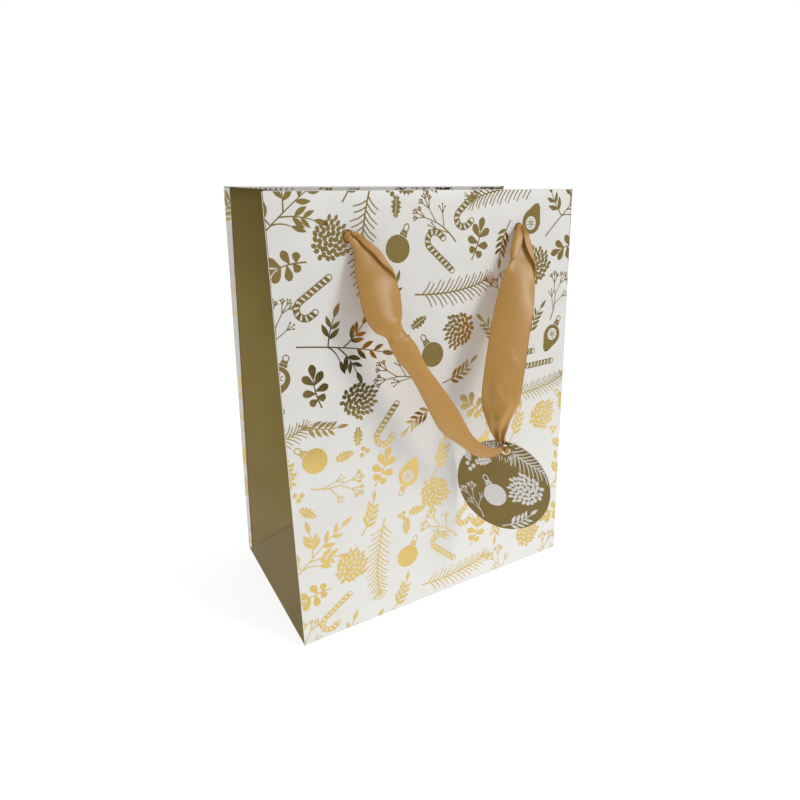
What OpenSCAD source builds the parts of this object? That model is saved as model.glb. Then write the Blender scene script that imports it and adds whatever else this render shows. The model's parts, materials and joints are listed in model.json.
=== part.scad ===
// Gift bag: a folded paper carrier with pleated sides, ribbon handles and a round tag.
// Millimetres. The origin is the centre of the base's underside, the front faces -Y
// and +Z is up.

/* [Bag] */
// Width across the front panel
bag_w = 180; // [150:1:260]
// Height of a panel, measured along the paper
bag_h = 230; // [200:1:320]
// Depth of the base, from front to back
bag_d = 100; // [80:1:120]
// Depth of the mouth as the bag stands, with its sides tucked in
mouth_d = 60; // [56:1:76]

/* [Paper and card] */
// Thickness of the bag's paper
paper_t = 0.3; // [0.2:0.05:0.4]
// Thickness of the stiffening card inside each top hem
card_t = 0.5; // [0.3:0.1:0.8]
// Thickness of the loose board that stiffens the base
board_t = 1; // [0.6:0.1:1.5]
// Depth of the hem turned in at the mouth
hem_h = 40; // [30:1:50]
// Width of the back panel's print carried round the back left corner
lap_w = 3; // [2:0.5:6]

/* [Ribbon handles] */
// Width of the ribbon
ribbon_w = 22; // [16:1:25]
// Thickness of the ribbon with its soft folds
ribbon_t = 0.8; // [0.6:0.1:1.2]
// Distance between the two ribbon holes of a panel
hole_gap = 102; // [90:1:110]
// Distance from the rim down to the ribbon holes
hole_drop = 20; // [18:1:26]
// Diameter of a ribbon hole
hole_d = 6; // [5:0.5:8]

/* [Tag] */
// Diameter of the round tag
tag_d = 54; // [46:1:56]
// Thickness of the tag's card
tag_t = 0.6; // [0.4:0.1:0.8]
// Angle between the hanging tag and the front panel
tag_yaw = 60; // [56:1:62]

/* [Hidden] */
$fn = 48;

white = "whitesmoke";
gold = "darkgoldenrod";
satin = "peru";

half_w = bag_w / 2;
half_d = bag_d / 2;
// Each big panel leans in from the base by this angle
lean = asin((bag_d - mouth_d) / 2 / bag_h);
// Clearance between bodies that move against each other
gap = 0.3;
// The foot of a panel stops just short of the table
panel_foot = 0.4;

// Base layers, from the table up
flap_inset = 0.8;
outer_flap_cover = 0.94;
inner_flap_cover = 0.9;
dust_flap_w = 0.48 * bag_d;
dust_flap_taper = 6;
board_w = bag_w - 4;
board_d = bag_d - 4;

// Gusset: a strip half as wide as the base is deep, folded along its middle
gusset_edge = 1.5;
lap_edge = 0.8;
gusset_steps = 36;
gusset_columns = 5;
// Air between glued layers of the twisted gusset, so that their facets stay apart
glue_gap = 0.1;
gusset_start = 2.5;
hem_side = 4.5;
panel_hem_side = 3;

// Ribbon knots
stub_r = hole_d / 2 - gap;
stub_out = 3;
knot_r = 6;
knot_t = 6.5;
tail_w = 14;
tail_h = 16;
tail_t = 0.8;

hinge_y = -half_d + (bag_h - hole_drop) * sin(lean) - stub_out * cos(lean);
hinge_z = (bag_h - hole_drop) * cos(lean) + stub_out * sin(lean);

// Tag hole: to the right of the middle, below and in front of the ribbon holes
tag_hole = [23, -68, 98];
tag_hole_d = 6;
tag_hole_margin = 5;
bight_t = 0.8;
bight_w = 4.4;
arm_h = 9;
arm_gap = 0.4;
ribbon_end = arm_h + 0.6;
// Unit vector out of the tag's face, and along its width
tag_n = [-sin(tag_yaw), -cos(tag_yaw), 0];

// Routes of the ribbon as Bezier control points, from the hole to the tag and across the back
left_route = [[-hole_gap / 2, hinge_y - 2.4, hinge_z - 3], [-47, -51, 180], [-14, -64, 134]];
right_route = [[hole_gap / 2, hinge_y - 2.4, hinge_z - 3], [41, -50, 182], [19, -62, 140]];
back_route = [
  [-hole_gap / 2, 2.4 - hinge_y, hinge_z - 3], [-48, 63, 60],
  [48, 63, 60], [hole_gap / 2, 2.4 - hinge_y, hinge_z - 3]
];
ribbon_steps = 20;
gather_w = 7;
tag_end_w = 8;

function unit(v) = v / norm(v);
function bezier(p, t) = p[0] * pow(1 - t, 3) + p[1] * 3 * t * pow(1 - t, 2)
  + p[2] * 3 * t * t * (1 - t) + p[3] * pow(t, 3);
function bezier_way(p, t) = unit(
  (p[1] - p[0]) * pow(1 - t, 2) + (p[2] - p[1]) * 2 * t * (1 - t) + (p[3] - p[2]) * t * t
);
function upright(v, way) = unit(v - way * (v * way));

// A solid sheet from a list of rings. A ring has the points of the outer face, then the same
// points of the inner face in reverse. Both faces are split on the same diagonals, so that a
// twisted sheet's two faces fold on the same lines.
module strip(rings) {
  n = len(rings[0]);
  last = n * (len(rings) - 1);
  sides = [
    for (i = [0 : len(rings) - 2], k = [0 : n - 1]) let (
      a = n * i + k,
      b = n * i + (k + 1) % n
    ) each k > n / 2 - 1 && k < n - 1
      ? [[a, b, a + n], [b, b + n, a + n]] : [[a, b, b + n], [a, b + n, a + n]]
  ];
  ends = [[for (k = [n - 1 : -1 : 0]) k], [for (k = [0 : n - 1]) last + k]];
  polyhedron([for (r = rings) each r], concat(sides, ends));
}

// ---- Panels ----

module front_frame() {
  translate([0, -half_d, 0]) rotate([-lean, 0, 0]) children();
}

module back_frame() {
  mirror([0, 1, 0]) front_frame() children();
}

// A sheet of the panel's layers, from depth y0 inwards
module layer(y0, t, low, high, side) {
  translate([side - half_w, y0, low]) cube([bag_w - 2 * side, t, high - low]);
}

module ribbon_holes(y1) {
  for (side = [-1, 1])
    translate([side * hole_gap / 2, -1, bag_h - hole_drop])
      rotate([-90, 0, 0]) cylinder(d = hole_d, h = y1 + 2);
}

module panel_sheet() {
  difference() {
    layer(0, paper_t, panel_foot, bag_h, 0);
    ribbon_holes(paper_t);
  }
}

module top_card() {
  difference() {
    layer(paper_t, card_t, bag_h - hem_h + 3, bag_h - 1, panel_hem_side + 1);
    ribbon_holes(paper_t + card_t);
  }
}

module turned_hem() {
  depth = paper_t + card_t;
  difference() {
    layer(depth, paper_t, bag_h - hem_h, bag_h - 0.5, panel_hem_side);
    ribbon_holes(depth + paper_t);
  }
}

module front_panel() { color(white) front_frame() panel_sheet(); }
module front_top_card() { color(white) front_frame() top_card(); }
module front_hem() { color(white) front_frame() turned_hem(); }
module back_panel() { color(white) back_frame() panel_sheet(); }
module back_top_card() { color(white) back_frame() top_card(); }
module back_hem() { color(white) back_frame() turned_hem(); }

// ---- Ribbon knots: the bead inside the panel, its tail and the stub through the hole ----

module knot(side) {
  inside = 2 * paper_t + card_t;
  round_r = knot_t / 2;
  translate([side * hole_gap / 2, 0, bag_h - hole_drop]) {
    rotate([-90, 0, 0]) {
      translate([0, 0, inside]) rotate_extrude() {
        translate([knot_r - round_r, round_r])
          intersection() {
            circle(r = round_r);
            translate([0, -round_r]) square([round_r, knot_t]);
          }
        square([knot_r - round_r, knot_t]);
      }
      translate([0, 0, -stub_out]) cylinder(r = stub_r, h = stub_out + inside);
    }
    translate([-tail_w / 2, inside + 1, -tail_h - 2]) cube([tail_w, tail_t, tail_h]);
  }
}

module front_left_knot() { color(satin) front_frame() knot(-1); }
module front_right_knot() { color(satin) front_frame() knot(1); }
module back_left_knot() { color(satin) back_frame() knot(-1); }
module back_right_knot() { color(satin) back_frame() knot(1); }

// ---- Base ----

module flap(z, y0, y1) {
  translate([1 - half_w, y0, z]) cube([bag_w - 2, y1 - y0, paper_t]);
}

module bottom_outer_flap() {
  edge = half_d - flap_inset;
  color(white) flap(0, edge - outer_flap_cover * 2 * edge, edge);
}

module bottom_inner_flap() {
  edge = half_d - flap_inset;
  color(white) flap(paper_t, -edge, inner_flap_cover * 2 * edge - edge);
}

module dust_flap() {
  edge = half_d - flap_inset;
  color(gold) translate([0, 0, 2 * paper_t]) linear_extrude(paper_t) polygon([
    [1 - half_w, -edge], [dust_flap_w - half_w, dust_flap_taper - edge],
    [dust_flap_w - half_w, edge - dust_flap_taper], [1 - half_w, edge]
  ]);
}

module left_dust_flap() { dust_flap(); }
module right_dust_flap() { mirror([1, 0, 0]) dust_flap(); }

module base_board() {
  color("lightgray") translate([-board_w / 2, -board_d / 2, 3 * paper_t])
    cube([board_w, board_d, board_t]);
}

// ---- Gussets ----
// A place on the left gusset's front half: t runs up the panel's side edge, s across the
// half from that edge to the middle crease, and off is the depth inside its outer face.
// The crease stays in the bag's middle plane, and below half the base's depth the half
// ends on a diagonal crease, where the foot triangle begins.

function fold(t) = acos((half_d - max(t, half_d) * sin(lean)) / (half_d * cos(lean)));
function inward() = [0, cos(lean), -sin(lean)];
function side_edge(t) = [-half_w, t * sin(lean) - half_d, t * cos(lean)];
function gusset_at(t, s, off) = let (f = fold(t)) side_edge(t)
  + ([1, 0, 0] * sin(f) + inward() * cos(f)) * s + ([1, 0, 0] * cos(f) - inward() * sin(f)) * off;
function half_reach(t) = min(t, half_d) - 0.2;
function gusset_rows(low, high) = concat(
  low < half_d ? [low] : [],
  [for (i = [0 : gusset_steps]) max(low, half_d) + (high - max(low, half_d)) * i / gusset_steps]
);

// Rings of a layer of the half, between s0 and s1 or the crease, whichever comes first
function layer_rings(low, high, s0, s1, off0, off1) = [
  for (t = gusset_rows(low, high)) let (
    e = min(s1, half_reach(t)),
    across = [for (i = [0 : gusset_columns]) s0 + (e - s0) * i / gusset_columns]
  ) concat(
    [for (s = across) gusset_at(t, s, off0)],
    [for (i = [gusset_columns : -1 : 0]) gusset_at(t, across[i], off1)]
  )
];

module gusset_half() {
  strip(layer_rings(gusset_start, bag_h, gusset_edge, half_d, 0, paper_t));
}

module gusset_hem_half() {
  strip(layer_rings(
    bag_h - hem_h, bag_h - 0.5, hem_side, half_d - 0.5, paper_t + glue_gap, 2 * paper_t + glue_gap
  ));
}

module left_gusset_front() { color(gold) gusset_half(); }
module left_gusset_rear() { color(gold) mirror([0, 1, 0]) gusset_half(); }
module right_gusset_front() { color(gold) mirror([1, 0, 0]) gusset_half(); }
module right_gusset_rear() { color(gold) mirror([1, 0, 0]) mirror([0, 1, 0]) gusset_half(); }

module gusset_hem() {
  color(gold) for (m = [0, 1]) mirror([0, m, 0]) gusset_hem_half();
}

module left_gusset_hem() { gusset_hem(); }
module right_gusset_hem() { mirror([1, 0, 0]) gusset_hem(); }

// The triangle between the base's side and the two diagonal creases
module gusset_foot() {
  apex = gusset_at(half_d, half_d, 0);
  tip = half_d - flap_inset;
  rise = 0.4;
  n = unit([apex[2], 0, half_w * -1 - apex[0]]);
  low = [[-half_w, -tip, 0] + n * 0.01, [-half_w, tip, 0] + n * 0.01, apex - [0, 0, rise]];
  color(gold) polyhedron(
    concat([for (p = low) p + [0, 0, rise]], [for (p = low) p + [0, 0, rise] + n * paper_t]),
    [[0, 2, 1], [3, 4, 5], [0, 1, 4], [0, 4, 3], [1, 2, 5], [1, 5, 4], [2, 0, 3], [2, 3, 5]]
  );
}

module left_gusset_foot() { gusset_foot(); }
module right_gusset_foot() { mirror([1, 0, 0]) gusset_foot(); }

// The back panel's paper, lapped round the left corner on to the gusset
module seam_lap() {
  color(white) mirror([0, 1, 0]) strip(
    layer_rings(gusset_start, bag_h, lap_edge, lap_w, -paper_t - glue_gap, -glue_gap)
  );
}

// ---- Ribbon handles ----

// Rings of a ribbon: place, direction across, and half its width there
function ribbon_ring(p, way, across, half) = let (
  n = cross(way, across) * ribbon_t / 2,
  a = across * half
) [p + a + n, p - a + n, p - a - n, p + a - n];

// Width along the front strand: gathered at the hole, broad, then folded at the tag
function strand_half(t) = (gather_w + (ribbon_w - gather_w) * sin(min(1, t * 2.4) * 90)
  - (ribbon_w - tag_end_w) * pow(max(0, t * 1.8 - 0.8), 1.5)) / 2;

module front_strand(route, side) {
  finish = tag_hole + tag_n * side * (tag_t / 2 + arm_gap + bight_t / 2) + [0, 0, ribbon_end];
  p = concat(route, [finish]);
  turn = [cos(tag_yaw), -sin(tag_yaw), 0];
  strip([
    for (i = [0 : ribbon_steps]) let (
      t = i / ribbon_steps,
      // The cut end lies level, just clear of the bight
      level = pow(t, 6),
      way = unit(bezier_way(p, t) * (1 - level) - [0, 0, level]),
      across = upright([1, 0, 0] * (1 - pow(t, 3)) + turn * pow(t, 3), way)
    ) ribbon_ring(bezier(p, t), way, across, strand_half(t))
  ]);
}

module front_ribbon() {
  color(satin) {
    front_strand(left_route, 1);
    front_strand(right_route, -1);
  }
}

module back_ribbon() {
  color(satin) strip([
    for (i = [0 : 2 * ribbon_steps]) let (
      t = i / (2 * ribbon_steps),
      way = bezier_way(back_route, t),
      mid = sin(t * 180),
      across = upright([cos(t * 180), 0, 0] + [0, mid * mid, 0], way)
    ) ribbon_ring(
      bezier(back_route, t), way, across,
      (gather_w + (ribbon_w - 2 - gather_w) * sin(min(1, mid * 1.3) * 90)) / 2
    )
  ]);
}

// ---- Tag, and the short bight of ribbon through its hole ----

module tag_frame() {
  translate(tag_hole) rotate([0, 0, -tag_yaw]) children();
}

module ribbon_bight() {
  reach = tag_t / 2 + arm_gap;
  color(satin) tag_frame() {
    rotate([90, 0, 0]) cylinder(r = stub_r - 0.4, h = 2 * (reach + bight_t), center = true);
    for (side = [-1, 1])
      translate([-bight_w / 2, side * (reach + bight_t / 2) - bight_t / 2, 0])
        cube([bight_w, bight_t, arm_h]);
  }
}

module gift_tag() {
  drop = tag_d / 2 - tag_hole_margin;
  color(gold) tag_frame() rotate([90, 0, 0]) difference() {
    translate([0, -drop, 0]) cylinder(d = tag_d, h = tag_t, center = true, $fn = 96);
    cylinder(d = tag_hole_d, h = tag_t + 2, center = true);
  }
}

base_board();
bottom_outer_flap();
bottom_inner_flap();
left_dust_flap();
right_dust_flap();
left_gusset_foot();
right_gusset_foot();
left_gusset_front();
left_gusset_rear();
right_gusset_front();
right_gusset_rear();
left_gusset_hem();
right_gusset_hem();
seam_lap();
front_panel();
front_top_card();
front_hem();
front_left_knot();
front_right_knot();
back_panel();
back_top_card();
back_hem();
back_left_knot();
back_right_knot();
front_ribbon();
ribbon_bight();
gift_tag();
back_ribbon();
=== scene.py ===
"""Gift bag: white paper with gold foil winter motifs, gold pleated sides, satin ribbon handles
and a round tag. Everything is in metres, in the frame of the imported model."""

import math
import json

import bmesh
import bpy
from mathutils import Matrix, Vector


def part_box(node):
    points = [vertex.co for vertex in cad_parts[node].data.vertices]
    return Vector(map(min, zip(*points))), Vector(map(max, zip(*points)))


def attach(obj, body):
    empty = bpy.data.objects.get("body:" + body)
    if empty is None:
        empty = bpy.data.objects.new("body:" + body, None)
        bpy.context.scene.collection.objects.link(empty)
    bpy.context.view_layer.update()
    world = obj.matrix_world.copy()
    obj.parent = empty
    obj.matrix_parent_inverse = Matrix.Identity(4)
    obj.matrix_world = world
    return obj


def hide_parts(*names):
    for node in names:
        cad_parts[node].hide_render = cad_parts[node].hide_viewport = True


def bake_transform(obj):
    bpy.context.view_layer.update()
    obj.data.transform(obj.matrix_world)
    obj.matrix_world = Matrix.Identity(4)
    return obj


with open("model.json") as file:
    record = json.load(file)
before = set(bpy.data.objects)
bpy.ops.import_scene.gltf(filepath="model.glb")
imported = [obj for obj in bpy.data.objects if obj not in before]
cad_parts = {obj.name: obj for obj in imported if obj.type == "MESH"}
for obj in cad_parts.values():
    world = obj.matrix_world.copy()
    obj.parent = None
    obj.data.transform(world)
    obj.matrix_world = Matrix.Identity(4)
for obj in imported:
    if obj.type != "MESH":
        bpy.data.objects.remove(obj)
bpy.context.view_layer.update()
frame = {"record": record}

MM = 0.001


# ---- Sizes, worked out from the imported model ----

PAPER = 0.3 * MM
CARD = 0.5 * MM
HEM = 40 * MM
BOW = 0.7 * MM          # how far a panel swells out
FOIL_LIFT = 0.02 * MM
FOIL = 0.03 * MM
LAYER = 0.006 * MM       # strokes that cross lie this far above one another
PATTERN = 170 * MM      # the print repeats after this far, both ways

panel_low, panel_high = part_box("front_panel")
half_w = panel_high[0]
half_d = -panel_low[1]
rise = panel_high[2]
run_in = panel_high[1] + half_d - PAPER
panel_h = math.hypot(rise, run_in)
lean = math.atan2(run_in, rise)
tag_low, tag_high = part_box("gift_tag")
tag_r = (tag_high[2] - tag_low[2]) / 2
RIBBON_W = 22 * MM
TAG_THICK = 0.6 * MM
HOLE_X = 51 * MM
HOLE_V = panel_h - 20 * MM
HOLE_R = 3 * MM
joints = {j["name"]: j for j in frame["record"]["behaviour"]["joints"]}
tag_hole = Vector(joints["tag_swing"]["pos_m"])
tag_face = Vector(joints["tag_swing"]["axis"]).normalized()
tag_across = Vector((-tag_face.y, tag_face.x, 0))


# ---- Camera, stage and light ----

def camera():
    place = Vector((-0.1703, -0.2827, 0.2380))
    yaw, pitch, roll = (math.radians(a) for a in (30.54, 21.58, 0.77))
    data = bpy.data.cameras.new("camera")
    data.lens = 26.2
    data.clip_start = 0.01
    view = bpy.data.objects.new("camera", data)
    bpy.context.collection.objects.link(view)
    turn = Matrix.Rotation(-yaw, 4, "Z") @ Matrix.Rotation(math.pi / 2 - pitch, 4, "X")
    view.matrix_world = Matrix.Translation(place) @ turn @ Matrix.Rotation(roll, 4, "Z")
    bpy.context.scene.camera = view


def area_light(name, place, aim, size, power, colour=(1, 1, 1)):
    data = bpy.data.lights.new(name, "AREA")
    data.shape = "RECTANGLE"
    data.size, data.size_y = size
    data.energy = power
    data.color = colour
    lamp = bpy.data.objects.new(name, data)
    bpy.context.collection.objects.link(lamp)
    lamp.location = place
    lamp.rotation_euler = (Vector(aim) - Vector(place)).to_track_quat("-Z", "Y").to_euler()


# ---- Shader helpers ----

class Value:
    """A socket that Python's operators extend with Math nodes."""

    def __init__(self, finish, socket):
        self.finish = finish
        self.socket = socket

    def maths(self, operation, *numbers):
        return self.finish.node("Math", {"operation": operation}, dict(enumerate(numbers)))

    def __add__(self, other):
        return self.maths("ADD", self, other)

    def __sub__(self, other):
        return self.maths("SUBTRACT", self, other)

    def __rsub__(self, other):
        return self.maths("SUBTRACT", other, self)

    def __mul__(self, other):
        return self.maths("MULTIPLY", self, other)

    __radd__ = __add__
    __rmul__ = __mul__


class Finish:
    """A material round one Principled shader. Values that are even all over go on its sockets."""

    def __init__(self, name, colour, roughness, **even):
        self.material = bpy.data.materials.new(name)
        self.material.use_nodes = True
        self.material.diffuse_color = (*colour, 1)
        self.nodes = self.material.node_tree.nodes
        self.links = self.material.node_tree.links
        self.shader = self.nodes["Principled BSDF"]
        self.put(self.shader, "Base Color", (*colour, 1))
        self.put(self.shader, "Roughness", roughness)
        for key, number in even.items():
            self.put(self.shader, key.replace("_", " ").title(), number)

    def put(self, node, key, number):
        socket = node.inputs[key]
        if isinstance(number, Value):
            self.links.new(number.socket, socket)
        else:
            socket.default_value = number

    def node(self, kind, settings, inputs, output=0):
        made = self.nodes.new("ShaderNode" + kind)
        for key, setting in settings.items():
            setattr(made, key, setting)
        for key, number in inputs.items():
            self.put(made, key, number)
        return Value(self, made.outputs[output])

    def place(self, scale=(1, 1, 1), turn=(0, 0, 0), source="Object"):
        where = self.node("TexCoord", {}, {}, source)
        return self.node("Mapping", {}, {"Vector": where, "Scale": scale, "Rotation": turn})

    def noise(self, scale, detail=3.0, where=None, rough=0.5):
        return self.node("TexNoise", {}, {
            "Vector": where or self.place(), "Scale": scale, "Detail": detail, "Roughness": rough,
        })

    def ramp(self, factor, low, high):
        """factor stretched so that low gives 0 and high gives 1, held to that range"""
        return self.node("MapRange", {"clamp": True}, {
            "Value": factor, "From Min": low, "From Max": high,
        })

    def mix(self, factor, a, b):
        return self.node("Mix", {"data_type": "RGBA"}, {0: factor, 6: a, 7: b}, 2)

    def colour(self, value):
        self.put(self.shader, "Base Color", value)

    def rough(self, value):
        self.put(self.shader, "Roughness", value)

    def bump(self, height, depth, strength=1.0):
        bump = self.node("Bump", {}, {"Height": height, "Distance": depth, "Strength": strength})
        self.put(self.shader, "Normal", bump)


def white_paper():
    """Smooth laminated art paper: a faint mottle, a faint orange-peel of the film"""
    finish = Finish("white_paper", (0.82, 0.815, 0.795), 0.36, coat_weight=0.25, coat_roughness=0.28)
    mottle = finish.noise(55, 4)
    finish.colour(finish.mix(
        finish.ramp(mottle, 0.35, 0.7), (0.79, 0.778, 0.738, 1), (0.83, 0.818, 0.778, 1)
    ))
    peel = finish.noise(900, 3)
    fibre = finish.noise(2600, 2, finish.place((1, 1, 0.35)))
    finish.rough(0.3 + 0.14 * mottle + 0.05 * peel)
    finish.bump(peel * 0.7 + fibre * 0.3, 0.03 * MM, 0.5)
    return finish.material


def plain_card(name, colour, fleck):
    """Uncoated board with flecks of fibre"""
    finish = Finish(name, colour, 0.85)
    fibre = finish.noise(2200, 4, finish.place((1, 0.3, 1)))
    spots = finish.ramp(finish.noise(700, 2), 0.68, 0.74)
    base = finish.mix(finish.ramp(fibre, 0.3, 0.7), (*colour, 1), (*(c * 0.9 for c in colour), 1))
    finish.colour(finish.mix(spots * 0.6, base, (*fleck, 1)))
    finish.bump(fibre, 0.05 * MM, 0.6)
    return finish.material


def gold_paper(name, colour, deep, roughness, printed=True):
    """Paper with a metallic gold ink under a satin film; bare white where it isn't printed"""
    finish = Finish(name, colour, roughness, metallic=0.9, coat_weight=0.2, coat_roughness=0.3)
    cloud = finish.noise(22, 3)
    grain = finish.noise(3200, 2)
    ink = finish.mix(finish.ramp(cloud, 0.3, 0.75), (*colour, 1), (*deep, 1))
    rough = roughness - 0.06 + 0.12 * cloud + 0.05 * grain
    if printed:
        mask = finish.node("Attribute", {"attribute_name": "printed"}, {}, "Fac")
        ink = finish.mix(mask, (0.82, 0.82, 0.81, 1), ink)
        finish.put(finish.shader, "Metallic", 0.9 * mask)
        rough = 0.55 + (rough - 0.55) * mask
    finish.colour(ink)
    finish.rough(rough)
    finish.bump(finish.noise(500, 3) * 0.6 + grain * 0.4, 0.02 * MM, 0.4)
    return finish.material


def gold_foil():
    """Hot-stamped foil: a near mirror, a little uneven where it took to the paper"""
    finish = Finish("gold_foil", (0.65, 0.48, 0.165), 0.16, metallic=1.0)
    cloud = finish.noise(60, 3)
    finish.colour(finish.mix(
        finish.ramp(cloud, 0.3, 0.7), (0.67, 0.495, 0.175, 1), (0.61, 0.45, 0.15, 1)
    ))
    finish.rough(0.12 + 0.12 * finish.noise(900, 2))
    finish.bump(finish.noise(420, 2), 0.012 * MM, 0.5)
    return finish.material


def satin(name="satin_ribbon"):
    """Woven satin: fine floats across, cords along both selvedges"""
    finish = Finish(
        name, (0.62, 0.33, 0.085), 0.36, sheen_weight=0.22, sheen_roughness=0.35,
        sheen_tint=(1.0, 0.78, 0.45, 1)
    )
    along = finish.node("UVMap", {"uv_map": "weave"}, {})
    parts = finish.node("SeparateXYZ", {}, {"Vector": along}, "X")
    across = parts
    threads = finish.node("TexWave", {"bands_direction": "Y", "wave_profile": "SIN"}, {
        "Vector": along, "Scale": 620, "Distortion": 1.2, "Detail": 2.0, "Detail Scale": 3.0,
    })
    ribs = finish.node("TexWave", {"bands_direction": "DIAGONAL"}, {
        "Vector": along, "Scale": 900, "Distortion": 0.8,
    })
    streak = finish.node("TexNoise", {}, {
        "Vector": finish.node("Mapping", {}, {"Vector": along, "Scale": (900, 14, 1)}),
        "Scale": 1.0, "Detail": 3.0,
    })
    centre = (across - RIBBON_W / 2).maths("ABSOLUTE", across - RIBBON_W / 2)
    edge = finish.ramp(centre, RIBBON_W / 2 - 1.0 * MM, RIBBON_W / 2 - 0.75 * MM)
    tone = finish.mix(
        finish.ramp(streak, 0.2, 0.85), (0.50, 0.262, 0.060, 1), (0.56, 0.305, 0.080, 1)
    )
    finish.colour(finish.mix(edge * 0.6, tone, (0.40, 0.175, 0.035, 1)))
    finish.rough(0.32 + 0.12 * streak + 0.1 * edge)
    finish.bump(threads * 0.5 + ribs * 0.35 + edge * 0.8, 0.035 * MM, 0.7)
    return finish.material


# ---- Mesh helpers ----

def fresh(name):
    """An empty mesh object, alone in the selection"""
    bpy.ops.object.select_all(action="DESELECT")
    made = bpy.data.objects.new(name, bpy.data.meshes.new(name))
    bpy.context.collection.objects.link(made)
    return use(made)


def use(made):
    bpy.ops.object.select_all(action="DESELECT")
    made.select_set(True)
    bpy.context.view_layer.objects.active = made
    return made


def apply_modifier(made, kind, **settings):
    use(made)
    modifier = made.modifiers.new(kind.lower(), kind)
    for key, setting in settings.items():
        setattr(modifier, key, setting)
    bpy.ops.object.modifier_apply(modifier=modifier.name)
    return made


def smooth(made, angle=40):
    use(made)
    bpy.ops.object.shade_smooth_by_angle(angle=math.radians(angle))
    return made


def sheet_mesh(name, rows, uv=None):
    """A sheet of quads through rows of points, with an optional length-wise map in metres"""
    made = fresh(name)
    bm = bmesh.new()
    verts = [[bm.verts.new(p) for p in row] for row in rows]
    layer = bm.loops.layers.uv.new("weave") if uv else None
    for i, (a, b) in enumerate(zip(verts, verts[1:])):
        for k in range(len(a) - 1):
            face = bm.faces.new((a[k], a[k + 1], b[k + 1], b[k]))
            if uv:
                spots = ((i, k), (i, k + 1), (i + 1, k + 1), (i + 1, k))
                for loop, (row, col) in zip(face.loops, spots):
                    loop[layer].uv = uv(row, col)
    bm.to_mesh(made.data)
    bm.free()
    return made


def thick(made, thickness, offset=0.0):
    """Gives a sheet its thickness; offset 1 grows it along its normals, -1 against them"""
    return apply_modifier(
        made, "SOLIDIFY", thickness=thickness, offset=offset, use_even_offset=True,
        use_quality_normals=True
    )


def mark_print(made, printed):
    """Tells the material which faces carry the print"""
    layer = made.data.attributes.new("printed", "FLOAT", "FACE")
    for face in made.data.polygons:
        layer.data[face.index].value = 1.0 if printed(face) else 0.0
    return made


def finish_piece(made, material, body, slot, *replaced):
    made.data.materials.clear()
    made.data.materials.append(material)
    if body:
        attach(made, body)
    if replaced:
        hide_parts(*replaced)
    return made


# ---- The folded sheet: where its points are ----

def panel_point(u, v, depth, side):
    """u to the right as seen from outside, v up the paper, depth inwards. side -1 is the front"""
    swell = math.sin(math.pi * min(v / (panel_h - HEM), 1.0)) if v > 0 else 0.0
    swell *= 1 - (u / half_w) ** 2
    inward = depth - BOW * max(swell, 0.0)
    y = -half_d + v * math.sin(lean) + inward * math.cos(lean)
    z = v * math.cos(lean) - inward * math.sin(lean)
    return Vector((-side * u, side * -y, z))


def fold_angle(t):
    near = half_d - max(t, half_d) * math.sin(lean)
    return math.acos(min(1.0, near / (half_d * math.cos(lean))))


def gusset_point(t, s, depth, end, side):
    """t up the panel's side edge, s from it towards the crease, depth inwards.
    end is -1 on the left, side is -1 for the half next to the front panel"""
    f = fold_angle(t)
    x = half_w - s * math.sin(f) - depth * math.cos(f)
    inward = s * math.cos(f) - depth * math.sin(f)
    y = -half_d + t * math.sin(lean) + inward * math.cos(lean)
    z = t * math.cos(lean) - inward * math.sin(lean)
    return Vector((end * x, -side * y, z))


def over_the_rim(low, inner, hem, steps):
    """(depth, v) up the middle of the paper, over the rim and down the hem"""
    middle = PAPER / 2
    turn = (inner - middle) / 2
    top = panel_h - turn - PAPER / 2
    route = [(middle, low + (top - low) * i / steps) for i in range(steps)]
    for i in range(7):
        a = math.pi * i / 6
        route.append((middle + turn * (1 - math.cos(a)), top + turn * math.sin(a)))
    return route + [(inner, top - (top - panel_h + hem) * i / 6) for i in range(1, 7)]


# ---- Paper ----

def panel_paper(side, name, nodes, body, material):
    route = over_the_rim(0.4 * MM, PAPER + CARD + PAPER / 2, HEM, 26)
    columns = [half_w * (i / 12 - 1) for i in range(25)]
    deepest = route[-1][0]
    made = sheet_mesh(name, [
        [panel_point(u * (1 - 0.025 * (d - PAPER / 2) / (deepest - PAPER / 2)), v, d, side)
         for u in columns] for d, v in route
    ])
    thick(made, PAPER)
    for x in (-HOLE_X, HOLE_X):
        use(made)
        centre = panel_point(x, HOLE_V, 0, side)
        bpy.ops.mesh.primitive_cylinder_add(
            vertices=32, radius=HOLE_R, depth=10 * MM, location=centre,
            rotation=(math.pi / 2 + side * lean, 0, 0)
        )
        punch = bpy.context.object
        apply_modifier(made, "BOOLEAN", object=punch, operation="DIFFERENCE", solver="EXACT")
        bpy.data.objects.remove(punch)
    smooth(made)
    return finish_piece(made, material, body, "printed_paper", *nodes)


def gusset_rows(end, side, low, high, steps):
    rows = []
    route = over_the_rim(low, PAPER * 1.5, HEM, steps)
    for depth, t in route:
        inner = depth > PAPER
        reach = min(t, half_d)
        start = 3.2 * MM if inner else 0.15 * MM
        row = []
        for i in range(13):
            s = start + (reach - start) * i / 12
            puff = 0.5 * MM * math.sin(math.pi * s / half_d) * math.sin(math.pi * t / panel_h)
            row.append(gusset_point(t, s, depth - (0 if t > panel_h - HEM else puff), end, side))
        rows.append(row)
    return rows


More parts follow.
